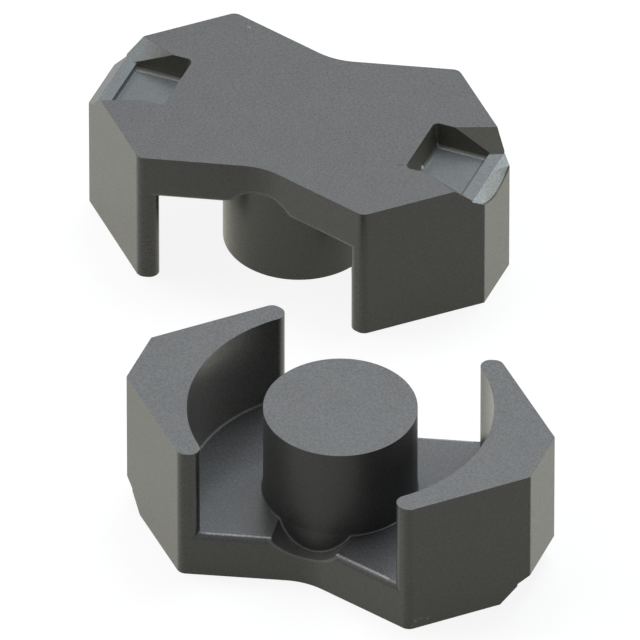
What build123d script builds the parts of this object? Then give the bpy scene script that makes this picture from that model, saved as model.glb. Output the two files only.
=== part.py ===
from build123d import *
from math import cos, radians, sin, sqrt, tan
import os

# A ferrite core of the rectangular module form, as its two separate halves.
# Millimetres, +Z up. The origin is on the floor, under the front half's centre post.
# X runs along the core and Y across it. The front half lies on its back, open side up.
# The rear half stands behind it on its leg ends and post, back up.

# Body
length = 41.5               # over the two end faces
across_flats = 33.9         # between opposite side faces, which stand at 45 degrees
half_height = 14.7          # back face to mating face
base_thickness = 4.8        # back face to winding floor
end_edge_round = 0.25       # upright edges of the end faces

# Waist
waist = 18.56               # across the base at the middle
notch_angle = 15.4          # each side of a waist notch, away from the X direction
notch_round = 7.0           # rounding at the bottom of the notch
floor_edge_round = 0.6      # edge of the winding floor along the notch

# Winding space
post_diameter = 14.8
winding_diameter = 29.4     # between the legs
leg_tip_round = 1.0         # both upright edges of each leg tip
post_foot_height = 0.25     # above the winding floor, where the post starts to widen downwards
post_foot_draft = 8.0       # degrees, of the post's wall below that, also inside the channels
post_foot_round = 0.2       # inside corner where the post meets the floor

# Lead channels in the winding floor, from the post out to each notch
channel_radius = 4.3
channel_depth = 1.7         # below the winding floor, at the notch
channel_slope = 10.0        # degrees, falling towards the post

# Clamp recess in the back face, at each end
clamp_reach = 8.1           # end face to the recess's inner wall
clamp_width = 7.6
clamp_depth = 2.5
clamp_draft = 10.0          # degrees, of the recess's walls
clamp_corner_round = 0.6    # upright corners at the inner wall
clamp_floor_round = 0.5     # foot of the walls
flare_reach = 6.0           # end face to where the sides start to flare
flare_angle = 23.3          # degrees, each flared side away from the X direction
flare_slope = 45.0          # degrees, the flared faces away from upright
land_reach = 2.25           # end face to the inner edge of the land
land_depth = 1.9
bevel_reach = 0.95          # end face to the start of the end bevel
end_face_drop = 2.6         # back face to the top edge of the end face

# Worn hollow in the end bevel, at the rear half's +X end only
wear_radius = 11.4
wear_slope = 60.0           # degrees, falling away from the level of the land

# The rear half's place on the floor
rear_shift_x = -20.2        # from the front half's centre
rear_shift_y = 40.5
rear_turn = -1.0            # degrees about Z

near = 0.01                 # how close counts as the same place when edges are picked

end_x = length / 2
side_sum = across_flats / sqrt(2)    # |x| + |y| on every side face
end_y = side_sum - end_x
# The rounding fills the bottom of the notch, so its sides meet nearer to the centre.
notch_fill = notch_round * (1 / cos(radians(notch_angle)) - 1)
notch_y = waist / 2 - notch_fill
tip_x = (side_sum - notch_y) / (1 + tan(radians(notch_angle)))
tip_y = side_sum - tip_x
# The notch sides run straight as far as the rounding of the leg tips.
notch_end_x = tip_x - leg_tip_round * tan(radians((45 + notch_angle) / 2)) * cos(radians(notch_angle))
winding_radius = winding_diameter / 2
post_radius = post_diameter / 2
post_foot_top = base_thickness + post_foot_height

# The half seen along Z: end faces, 45 degree sides and two waist notches
with BuildSketch() as outline:
    with BuildLine():
        Polyline(
            (end_x, -end_y), (end_x, end_y), (tip_x, tip_y), (0, notch_y), (-tip_x, tip_y),
            (-end_x, end_y), (-end_x, -end_y), (-tip_x, -tip_y), (0, -notch_y), (tip_x, -tip_y),
            close=True,
        )
    make_face()
    fillet(outline.vertices().filter_by(lambda v: abs(v.X) < near), radius=notch_round)
    fillet(outline.vertices().filter_by(lambda v: abs(abs(v.X) - tip_x) < near), radius=leg_tip_round)

# Both legs seen along Z: the outline outside the winding space
with BuildSketch() as legs:
    add(outline.sketch)
    Circle(winding_radius, mode=Mode.SUBTRACT)
    inner_tips = legs.vertices().filter_by(lambda v: abs(v.center().length - winding_radius) < near)
    fillet(inner_tips, radius=leg_tip_round)

# Shape of a lead channel on the front side: a round trough that falls towards the post
channel_out = Vector(0, -cos(radians(channel_slope)), sin(radians(channel_slope)))
channel_mouth = Plane(
    origin=(0, -waist / 2, base_thickness - channel_depth), x_dir=(1, 0, 0), z_dir=channel_out
)
with BuildPart() as channel:
    with BuildSketch(channel_mouth):
        with Locations((0, channel_radius)):
            Circle(channel_radius)
    extrude(amount=waist / 2, both=True)

# Shape of the clamp recess at the +X end, from the back face upwards
wall_x = end_x - clamp_reach
flare_x = end_x - flare_reach
land_x = end_x - land_reach
bevel_x = end_x - bevel_reach
step_x = land_x + land_depth * tan(radians(clamp_draft))   # back-face place of the step up to the land
past_end_x = end_x + 2 * land_depth
flare_half_width = clamp_width / 2 + (past_end_x - flare_x) * tan(radians(flare_angle))
bevel_fall = (end_face_drop - land_depth) / bevel_reach
with BuildPart() as clamp_recess:
    with BuildSketch():
        with BuildLine():
            Polyline(
                (wall_x, -clamp_width / 2), (step_x, -clamp_width / 2),
                (step_x, clamp_width / 2), (wall_x, clamp_width / 2),
                close=True,
            )
        make_face()
        fillet(vertices().group_by(Axis.X)[0], radius=clamp_corner_round)
    extrude(amount=clamp_depth, taper=clamp_draft)
    foot = edges().group_by(Axis.Z)[-1].sort_by(Axis.X)[:-1]
    fillet(foot, radius=clamp_floor_round)
    with BuildSketch():
        with BuildLine():
            Polyline(
                (flare_x, -clamp_width / 2), (past_end_x, -flare_half_width),
                (past_end_x, flare_half_width), (flare_x, clamp_width / 2),
                close=True,
            )
        make_face()
    extrude(amount=land_depth, taper=flare_slope)
    with BuildSketch(Plane.XZ):
        with BuildLine():
            Polyline(
                (bevel_x, 0), (past_end_x, 0),
                (past_end_x, land_depth + (past_end_x - bevel_x) * bevel_fall), (bevel_x, land_depth),
                close=True,
            )
        make_face()
    extrude(amount=end_x, both=True)


def foot_radius(z):
    return post_radius + (post_foot_top - z) * tan(radians(post_foot_draft))


def on_foot(edge):
    points = [edge @ 0, edge @ 0.5, edge @ 1]
    return all(abs(Vector(p.X, p.Y).length - foot_radius(p.Z)) < near for p in points)


with BuildPart() as front_half:
    # The base between the notches, with its floor edges rounded, then the base under the legs
    with BuildSketch():
        add(outline.sketch)
        Rectangle(2 * notch_end_x, 2 * side_sum, mode=Mode.INTERSECT)
    extrude(amount=base_thickness)
    floor_edges = edges().group_by(Axis.Z)[-1]
    fillet(floor_edges.filter_by(lambda e: abs(e.center().X) < notch_end_x - near), radius=floor_edge_round)
    with BuildSketch():
        add(outline.sketch)
        Rectangle(2 * notch_end_x, 2 * side_sum, mode=Mode.SUBTRACT)
    extrude(amount=base_thickness)
    with PolarLocations(0, 2):
        add(channel.part, mode=Mode.SUBTRACT)
    with Locations((0, 0, post_foot_top / 2)):
        Cone(foot_radius(0), post_radius, post_foot_top)
    with BuildSketch():
        Circle(post_radius)
        add(legs.sketch)
    extrude(amount=half_height)
    low_edges = edges().filter_by_position(Axis.Z, 0, base_thickness)
    fillet(low_edges.filter_by(on_foot), radius=post_foot_round)
    end_edges = edges().filter_by(Axis.Z).filter_by(lambda e: abs(abs(e.center().X) - end_x) < near)
    fillet(end_edges, radius=end_edge_round)
    with PolarLocations(0, 2):
        add(clamp_recess.part, mode=Mode.SUBTRACT)
front_half.part.label = "front_half"

# Shape of the worn hollow, from the start of the bevel out past the end face
wear_out = Vector(cos(radians(wear_slope)), 0, sin(radians(wear_slope)))
with BuildPart() as worn_hollow:
    with BuildSketch(Plane(origin=(bevel_x, 0, land_depth), x_dir=(0, 1, 0), z_dir=wear_out)):
        with Locations((0, -wear_radius)):
            Circle(wear_radius)
    extrude(amount=2 * bevel_reach, both=True)

# The rear half is the same shape turned over about the X direction
rear_seat = Plane(
    origin=(rear_shift_x, rear_shift_y, half_height),
    x_dir=(cos(radians(rear_turn)), sin(radians(rear_turn)), 0),
    z_dir=(0, 0, -1),
)
with BuildPart() as rear_half:
    add(front_half.part.moved(rear_seat.location))
    add(worn_hollow.part.moved(rear_seat.location), mode=Mode.SUBTRACT)
rear_half.part.label = "rear_half"

os.makedirs("parts", exist_ok=True)
export_step(front_half.part, "parts/front_half.step")
export_step(rear_half.part, "parts/rear_half.step")
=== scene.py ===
from math import cos, radians, sin

import bpy
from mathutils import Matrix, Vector

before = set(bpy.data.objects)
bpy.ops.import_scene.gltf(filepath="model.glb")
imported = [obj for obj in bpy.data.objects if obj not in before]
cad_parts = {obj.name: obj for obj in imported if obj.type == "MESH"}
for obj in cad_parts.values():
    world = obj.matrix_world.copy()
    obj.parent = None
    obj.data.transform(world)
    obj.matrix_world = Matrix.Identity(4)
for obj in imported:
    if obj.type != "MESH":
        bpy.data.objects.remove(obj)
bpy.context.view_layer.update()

print("frame loaded:", ", ".join(sorted(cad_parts)))


class Flow:
    # a socket of a material, whose arithmetic adds the nodes
    def __init__(self, tree, socket=None):
        self.tree = tree
        self.socket = socket

    def node(self, kind, inputs, settings=None, out=0):
        made = self.tree.nodes.new(kind)
        for key, value in (settings or {}).items():
            setattr(made, key, value)
        for key, value in inputs.items():
            if isinstance(value, Flow):
                self.tree.links.new(value.socket, made.inputs[key])
            else:
                made.inputs[key].default_value = value
        return Flow(self.tree, None if out is None else made.outputs[out])

    def math(self, operation, *values):
        return self.node("ShaderNodeMath", dict(enumerate(values)), {"operation": operation})

    def __add__(self, other):
        return self.math("ADD", self, other)

    def __radd__(self, other):
        return self.math("ADD", other, self)

    def __sub__(self, other):
        return self.math("SUBTRACT", self, other)

    def __rsub__(self, other):
        return self.math("SUBTRACT", other, self)

    def __mul__(self, other):
        return self.math("MULTIPLY", self, other)

    def __rmul__(self, other):
        return self.math("MULTIPLY", other, self)

    def __truediv__(self, other):
        return self.math("DIVIDE", self, other)

    def __abs__(self):
        return self.math("ABSOLUTE", self)

    def larger(self, other):
        return self.math("MAXIMUM", self, other)

    def hypot(self, other):
        return self.math("SQRT", self * self + other * other)

    def rise(self, low, high):
        # 0 below low, 1 above high, smooth between; falls where low is the larger
        inputs = {"Value": self, "From Min": low, "From Max": high, "To Min": 0.0, "To Max": 1.0}
        return self.node("ShaderNodeMapRange", inputs, {"interpolation_type": "SMOOTHSTEP", "clamp": True})

    def near(self, centre, reach):
        # 1 within half the reach, 0 from the reach outwards
        return abs(self - centre).rise(reach, reach * 0.5)

    def axes(self):
        return [self.node("ShaderNodeSeparateXYZ", {0: self}, out=axis) for axis in "XYZ"]

    def noise(self, scale, detail, roughness):
        inputs = {"Vector": self, "Scale": scale, "Detail": detail, "Roughness": roughness}
        return self.node("ShaderNodeTexNoise", inputs)

    def mix(self, first, second):
        # self is the factor; the colour sockets share their names with others, so they go by number
        inputs = {0: self, 6: first, 7: second}
        return self.node("ShaderNodeMix", inputs, {"data_type": "RGBA"}, out=2)


def newMaterial(name):
    material = bpy.data.materials.new(name)
    material.use_nodes = True
    material.node_tree.nodes.clear()
    return material, Flow(material.node_tree)


# Sintered ferrite. Sizes are in millimetres, in the half's own frame: back face at 0, post upwards.
ferriteLook = {
    "colour": (0.118, 0.122, 0.130, 1),
    "tint": (0.126, 0.120, 0.117, 1), "tinted": (0.35, 0.65),  # the warmer grains
    "pressed": (0.1145, 0.123, 0.127, 1),  # painted light: a cooler hue for the smooth level faces of the recesses
    "walls": (0.126, 0.121, 0.100, 1),     # painted shade: a warmer hue for their upright faces
    "grain": 2.1, "grainNoise": (5.0, 3.0, 0.65), "tintNoise": (2.5, 2.0, 0.6),
    "cloud": 0.20, "cloudNoise": (0.35, 2.0, 0.5),
    "shift": (0.37, 0.61, 0.43),  # moves the noise off the whole numbers, where it is flat
    "sparkleNoise": (7.0, 2.0, 0.6), "sparkle": (0.40, 0.62), "sparkleLeast": 0.4,
    "darkest": 0.05, "roughness": 0.28, "specular": 0.5,
    "bump": 0.6, "bumpHeight": 0.00003,  # the height in metres
}

# Places on a half. A level is a share of the plain colour that is added there, or taken away.
# A pair says where a place starts to show and where it is full, or its end where it falls.
# "inward" is measured from the notch edge, "skin" from the post and its foot.
spots = {
    "ground": {"height": (14.64, 14.68), "level": 0.20},
    "post": {
        "radius": 7.4, "footTop": 5.05, "slope": 0.1405,
        "skin": (0.06, 0.02), "top": (14.68, 14.62), "bottom": (0.5, 0.6),
    },
    "postLine": {"skin": (0.1, 0.1), "top": (4.95, 4.85), "bottom": (2.5, 2.6), "level": -0.25},
    "notch": {"edge": 9.0, "slope": 0.2754, "bend": 0.28},
    "footLine": {
        "inner": (14.5, 14.6), "outer": (14.74, 14.71), "height": (4.8, 0.2), "inward": (1.4, 2.0),
        "level": 2.2,
    },
    "waist": {"along": (11.2, 11.1), "across": (12.6, 12.5), "radius": (8.6, 8.8)},
    "edgeLine": {
        "bottom": (4.73, 4.75), "top": (4.799, 4.797), "radius": (14.6, 14.5), "inward": (0.7, 0.6),
        "level": 3.0,
    },
    "edgeShade": {"bottom": (4.2, 4.3), "top": (4.74, 4.72), "level": -0.15},
    "channel": {
        "height": 7.4, "fall": 0.1763, "top": (4.79, 4.75),
        "wall": (4.32, 0.3), "skin": (0.15, 0.2), "inward": (-0.02, 0.02), "level": 0.35,
        "lip": (4.32, 0.2), "lipReach": (0.16, 0.08), "lipLevel": 1.3,
    },
    "recess": {
        "top": (0.01, 0.03), "bottom": (2.65, 2.6), "across": (10.2, 10.0), "along": (12.4, 12.5),
        "end": (20.74, 20.70), "sides": (23.93, 23.88), "smooth": 0.5,
    },
    "pressed": {"floor": (2.30, 2.45), "outer": (18.3, 18.4), "outerTop": (1.80, 1.86), "level": 0.50},
    "flare": {
        "half": 3.8, "draft": 0.176, "edge": (0.01, 0.06), "bottom": (1.89, 1.86), "along": (-14.0, -19.5),
        "level": 2.0,
    },
    "step": {"along": (18.42, 0.16), "height": (2.16, 2.30), "level": 1.6},
    "land": {"height": (1.9, 0.06), "level": 0.38},
    "crease": {"along": (18.15, 0.14), "height": (2.4, 2.45), "level": -1.0},
    "bevel": {"along": (19.78, 19.82), "level": -0.10},
    "hollow": {
        "start": (19.78, 19.82), "end": (20.74, 20.72), "top": (1.86, 1.92), "bottom": (5.0, 4.9),
        "plain": 0.5, "level": 3.9, "lip": (20.60, 20.65), "lipLevel": -4.3,
    },
}

# Small marks of each half: centre, half sizes along, across and up in millimetres, turn in degrees
frontMarks = {
    "lowFleck": {"centre": (12.00, -11.97, 0.36), "size": (0.20, 0.30, 0.13), "turn": 45, "level": 3.5},
    "crumb": {"centre": (12.31, -11.66, 0.89), "size": (0.14, 0.30, 0.26), "turn": 45, "level": 5.5},
    "fleck": {"centre": (12.64, -11.33, 1.05), "size": (0.24, 0.30, 0.11), "turn": 45, "level": 4.5},
    "farCrumb": {"centre": (13.18, -10.79, 0.84), "size": (0.14, 0.30, 0.22), "turn": 45, "level": 5.5},
}
rearMarks = {
    "glint": {"centre": (12.95, 0.45, 2.4), "size": (0.30, 0.30, 0.30), "turn": 0, "level": 5.5},
    "scratch": {"centre": (12.15, 3.6, 0), "size": (0.50, 0.07, 0.30), "turn": -26, "level": -0.6},
    "chip": {"centre": (-9.64, -10.65, 0), "size": (0.30, 0.13, 0.30), "turn": 30, "level": 1.4},
}
markEdge = (1.2, 0.6)

# Where each half stands: its origin in millimetres and its turn in degrees.
# "post" is what its post adds to the level, as painted shade on the front post and painted light on the rear
# one, and to the roughness.
seats = {
    "front_half": {
        "origin": (0, 0, 0), "turn": (0, 0, 0), "post": (-0.35, 0.25), "worn": False, "marks": frontMarks,
    },
    "rear_half": {
        "origin": (-20.2, 40.5, 14.7), "turn": (180, 0, -1), "post": (0.20, 0.0), "worn": True,
        "marks": rearMarks,
    },
}


def markMask(mark, x, y, z):
    turn = radians(mark["turn"])
    offX, offY, offZ = x - mark["centre"][0], y - mark["centre"][1], z - mark["centre"][2]
    lengthwise = (offX * cos(turn) + offY * sin(turn)) / mark["size"][0]
    crosswise = (offY * cos(turn) - offX * sin(turn)) / mark["size"][1]
    return lengthwise.hypot(crosswise).hypot(offZ / mark["size"][2]).rise(*markEdge)


def ferriteMaterial(name, seat, look, spots):
    material, flow = newMaterial(name)
    place = flow.node("ShaderNodeMapping", {
        "Vector": flow.node("ShaderNodeTexCoord", {}, out="Object"),
        "Location": [value / 1000 for value in seat["origin"]],
        "Rotation": [radians(value) for value in seat["turn"]],
        "Scale": (0.001, 0.001, 0.001),
    }, {"vector_type": "TEXTURE"})
    x, y, z = place.axes()
    along, across, radius = abs(x), abs(y), x.hypot(y)
    least = look["sparkleLeast"]
    sparkle = place.noise(*look["sparkleNoise"]).rise(*look["sparkle"]) * (1 - least) + least

    # Painted light: the top mating faces a fifth lighter
    spot = spots["ground"]
    level = 1 + z.rise(*spot["height"]) * spot["level"]

    # Winding space
    spot = spots["post"]
    skin = radius - spot["radius"] - (spot["footTop"] - z).larger(0.0) * spot["slope"]
    onPost = skin.rise(*spot["skin"]) * z.rise(*spot["top"]) * z.rise(*spot["bottom"])
    # Painted shade on the front half's post, painted light on the rear half's post
    level = level + onPost * seat["post"][0]
    roughness = look["roughness"] + onPost * seat["post"][1]
    # Painted shade: a dark line round the foot of the post, where it meets the floor and the channels
    spot = spots["postLine"]
    line = skin.near(*spot["skin"]) * z.rise(*spot["top"]) * z.rise(*spot["bottom"])
    level = level + line * spot["level"]
    spot = spots["notch"]
    inward = spot["edge"] + (x * spot["slope"]).hypot(spot["bend"]) - across
    # Painted highlight: a light line where the legs' inner walls meet the floor
    spot = spots["footLine"]
    line = radius.rise(*spot["inner"]) * radius.rise(*spot["outer"]) * z.near(*spot["height"])
    level = level + line * inward.rise(*spot["inward"]) * spot["level"]

    # Floor edges and lead channels, inside the notch
    spot = spots["waist"]
    waist = along.rise(*spot["along"]) * across.rise(*spot["across"]) * radius.rise(*spot["radius"])
    # Painted highlight with sparkle along the floor's edge at the notch, and painted shade just below it
    spot = spots["edgeLine"]
    line = z.rise(*spot["bottom"]) * z.rise(*spot["top"]) * waist
    line = line * radius.rise(*spot["radius"]) * inward.rise(*spot["inward"])
    level = level + line * sparkle * spot["level"]
    spot = spots["edgeShade"]
    level = level + z.rise(*spot["bottom"]) * z.rise(*spot["top"]) * waist * spot["level"]
    # Painted light on the walls of the lead channels, and a painted highlight along their lip
    spot = spots["channel"]
    trough = x.hypot(z - spot["height"] + inward * spot["fall"])
    below = z.rise(*spot["top"])
    wall = trough.near(*spot["wall"]) * below * skin.rise(*spot["skin"]) * inward.rise(*spot["inward"])
    level = level + wall * spot["level"]
    lip = trough.near(*spot["lip"]) * below * abs(inward).rise(*spot["lipReach"])
    level = level + lip * spot["lipLevel"]

    # Clamp recess at each end
    spot = spots["recess"]
    sides = (along + across).rise(*spot["sides"])
    inRecess = z.rise(*spot["top"]) * z.rise(*spot["bottom"]) * across.rise(*spot["across"])
    inRecess = inRecess * along.rise(*spot["along"]) * along.rise(*spot["end"]) * sides
    # Painted light: the level faces of the recesses half again as light
    spot = spots["pressed"]
    outer = along.rise(*spot["outer"]) * z.rise(*spot["outerTop"])
    pressed = inRecess * z.rise(*spot["floor"]).larger(outer)
    level = level + pressed * spot["level"]
    # Painted light: the flare facets at the negative x end lighter, most at the end
    spot = spots["flare"]
    flared = (across - spot["half"] + z * spot["draft"]).rise(*spot["edge"]) * z.rise(*spot["bottom"])
    flared = flared * x.rise(*spot["along"]) * inRecess
    level = level + flared * spot["level"]
    pressed = pressed.larger(flared)
    # Painted light on the step between the pocket floor and the land
    spot = spots["step"]
    level = level + along.near(*spot["along"]) * z.rise(*spot["height"]) * inRecess * spot["level"]
    # Painted light: the land lighter
    spot = spots["land"]
    level = level + z.near(*spot["height"]) * inRecess * spot["level"]
    # Painted shade: a dark line on the pocket floor beside the step at the positive x end
    spot = spots["crease"]
    level = level + x.near(*spot["along"]) * z.rise(*spot["height"]) * inRecess * spot["level"]
    # Painted shade: the end bevels a tenth darker
    spot = spots["bevel"]
    level = level + along.rise(*spot["along"]) * inRecess * spot["level"]
    # The rear half's worn hollow on the end bevel at the positive x end: painted light with sparkle, and a
    # painted shadow line under its lip
    if seat["worn"]:
        spot = spots["hollow"]
        worn = x.rise(*spot["start"]) * x.rise(*spot["end"]) * sides
        worn = worn * z.rise(*spot["top"]) * z.rise(*spot["bottom"])
        level = level + worn * (sparkle * (1 - spot["plain"]) + spot["plain"]) * spot["level"]
        level = level + worn * x.rise(*spot["lip"]) * spot["lipLevel"]
        pressed = pressed.larger(worn)
    for mark in seat["marks"].values():
        level = level + markMask(mark, x, y, z) * mark["level"]

    texture = flow.node("ShaderNodeVectorMath", {0: place, 1: look["shift"]}, {"operation": "ADD"})
    grain = texture.noise(*look["grainNoise"]) - 0.5
    cloud = texture.noise(*look["cloudNoise"]) - 0.5
    even = 1 - inRecess * spots["recess"]["smooth"]
    level = level.larger(look["darkest"]) * (1 + grain * even * look["grain"] + cloud * look["cloud"])
    hue = texture.noise(*look["tintNoise"]).rise(*look["tinted"]).mix(look["colour"], look["tint"])
    # Painted light and shade: a cooler hue on the recesses' level faces, a warmer one on their upright faces
    hue = pressed.mix(inRecess.mix(hue, look["walls"]), look["pressed"])
    colour = flow.node("ShaderNodeVectorMath", {0: hue, "Scale": level}, {"operation": "SCALE"})
    bump = flow.node("ShaderNodeBump", {
        "Strength": look["bump"], "Distance": look["bumpHeight"], "Height": grain * even,
    })
    shader = flow.node("ShaderNodeBsdfPrincipled", {
        "Base Color": colour, "Roughness": roughness, "Specular IOR Level": look["specular"],
        "Normal": bump,
    })
    flow.node("ShaderNodeOutputMaterial", {"Surface": shader}, out=None)
    return material


for node, seat in seats.items():
    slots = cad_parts[node].data.materials
    made = ferriteMaterial("ferrite_" + node, seat, ferriteLook, spots)
    slots.clear()
    slots.append(made)
print("materials set")


def lookingRays(flow):
    # 1 for a camera ray, and 1 for what a reflection or a clear body shows
    camera, glossy, through = (flow.node("ShaderNodeLightPath", {}, out=key) for key in
                               ("Is Camera Ray", "Is Glossy Ray", "Is Transmission Ray"))
    return camera, glossy.larger(through)


# Floor: lifted to white where it is seen, with the shadow kept, and it throws little light back
floorLook = {
    "size": 3.0, "centre": (-0.010, 0.020), "colour": (0.20, 0.20, 0.20, 1), "lift": 0.89,
    "white": (1, 1, 1, 1), "mirrored": (0.97, 0.96, 0.85, 1),
}


def makeFloor(look):
    bpy.ops.mesh.primitive_plane_add(size=look["size"], location=(*look["centre"], 0))
    floor = bpy.context.object
    floor.name = "studio_floor"
    material, flow = newMaterial("studio_floor")
    camera, mirrored = lookingRays(flow)
    plain = flow.node("ShaderNodeBsdfDiffuse", {"Color": look["colour"]})
    tone = camera.mix(look["mirrored"], look["white"])
    glow = flow.node("ShaderNodeEmission", {"Color": tone, "Strength": camera * look["lift"] + mirrored})
    shader = flow.node("ShaderNodeAddShader", {0: plain, 1: glow})
    flow.node("ShaderNodeOutputMaterial", {"Surface": shader}, out=None)
    floor.data.materials.append(material)


makeFloor(floorLook)

# World: white where it is seen or mirrored, and no light from it
worldLook = {"colour": (1, 1, 1, 1), "fill": 0.0, "seen": 1.0}


def makeWorld(look):
    world = bpy.data.worlds.new("studio")
    bpy.context.scene.world = world
    world.use_nodes = True
    world.node_tree.nodes.clear()
    flow = Flow(world.node_tree)
    fill = flow.node("ShaderNodeBackground", {"Color": look["colour"], "Strength": look["fill"]})
    white = flow.node("ShaderNodeBackground", {"Color": look["colour"], "Strength": look["seen"]})
    camera, mirrored = lookingRays(flow)
    both = flow.node("ShaderNodeMixShader", {0: camera.larger(mirrored), 1: fill, 2: white})
    flow.node("ShaderNodeOutputWorld", {"Surface": both}, out=None)


makeWorld(worldLook)


def outwards(look):
    # azimuth 0 is in front, 90 at the right and 180 behind
    azimuth, height = radians(look["azimuth"]), radians(look["height"])
    return Vector((sin(azimuth) * cos(height), -cos(azimuth) * cos(height), sin(height)))


# Lamps: angles in degrees, power in watts, sizes in metres
lamps = {
    "backHigh": {"azimuth": 180, "height": 65, "power": 3.75, "size": 0.5, "colour": (0.86, 0.94, 1.0)},
    "leftHigh": {"azimuth": 270, "height": 55, "power": 1.78, "size": 0.5, "colour": (0.99, 0.97, 0.90)},
    "left": {"azimuth": 280, "height": 33, "power": 0.25, "size": 0.4, "colour": (0.85, 0.93, 1.0)},
    "frontLeftLow": {"azimuth": 300, "height": 15, "power": 0.25, "size": 0.3, "colour": (0.96, 1.0, 0.95)},
    "backRightLow": {"azimuth": 130, "height": 12, "power": 1.15, "size": 0.3, "colour": (0.95, 0.98, 0.84)},
    "backLeft": {"azimuth": 235, "height": 30, "power": 0.20, "size": 0.4, "colour": (0.80, 0.88, 1.0)},
}
lampCentre = Vector((-0.010, 0.020, 0.007))
lampDistance = 0.8


def makeLamp(name, look):
    data = bpy.data.lights.new("lamp_" + name, "AREA")
    data.size = look["size"]
    data.energy = look["power"]
    data.color = look["colour"]
    lamp = bpy.data.objects.new("lamp_" + name, data)
    bpy.context.scene.collection.objects.link(lamp)
    lamp.location = lampCentre + outwards(look) * lampDistance
    lamp.rotation_euler = outwards(look).to_track_quat("Z", "Y").to_euler()


for name, look in lamps.items():
    makeLamp(name, look)
print("floor, world and lamps made")

# Camera: a long lens far off, because both halves have the same scale in the photo
cameraLook = {
    "azimuth": 21.45, "height": 38.89, "distance": 2.8378, "target": (-0.01333, 0.02860, 0),
    "lens": 1650.0, "sensor": 36.0,
}


def makeCamera(look):
    data = bpy.data.cameras.new("camera")
    data.lens = look["lens"]
    data.sensor_width = look["sensor"]
    camera = bpy.data.objects.new("camera", data)
    bpy.context.scene.collection.objects.link(camera)
    camera.location = Vector(look["target"]) + outwards(look) * look["distance"]
    camera.rotation_euler = outwards(look).to_track_quat("Z", "Y").to_euler()
    bpy.context.scene.camera = camera


makeCamera(cameraLook)
bpy.context.scene.view_settings.view_transform = "Standard"
print("camera made")
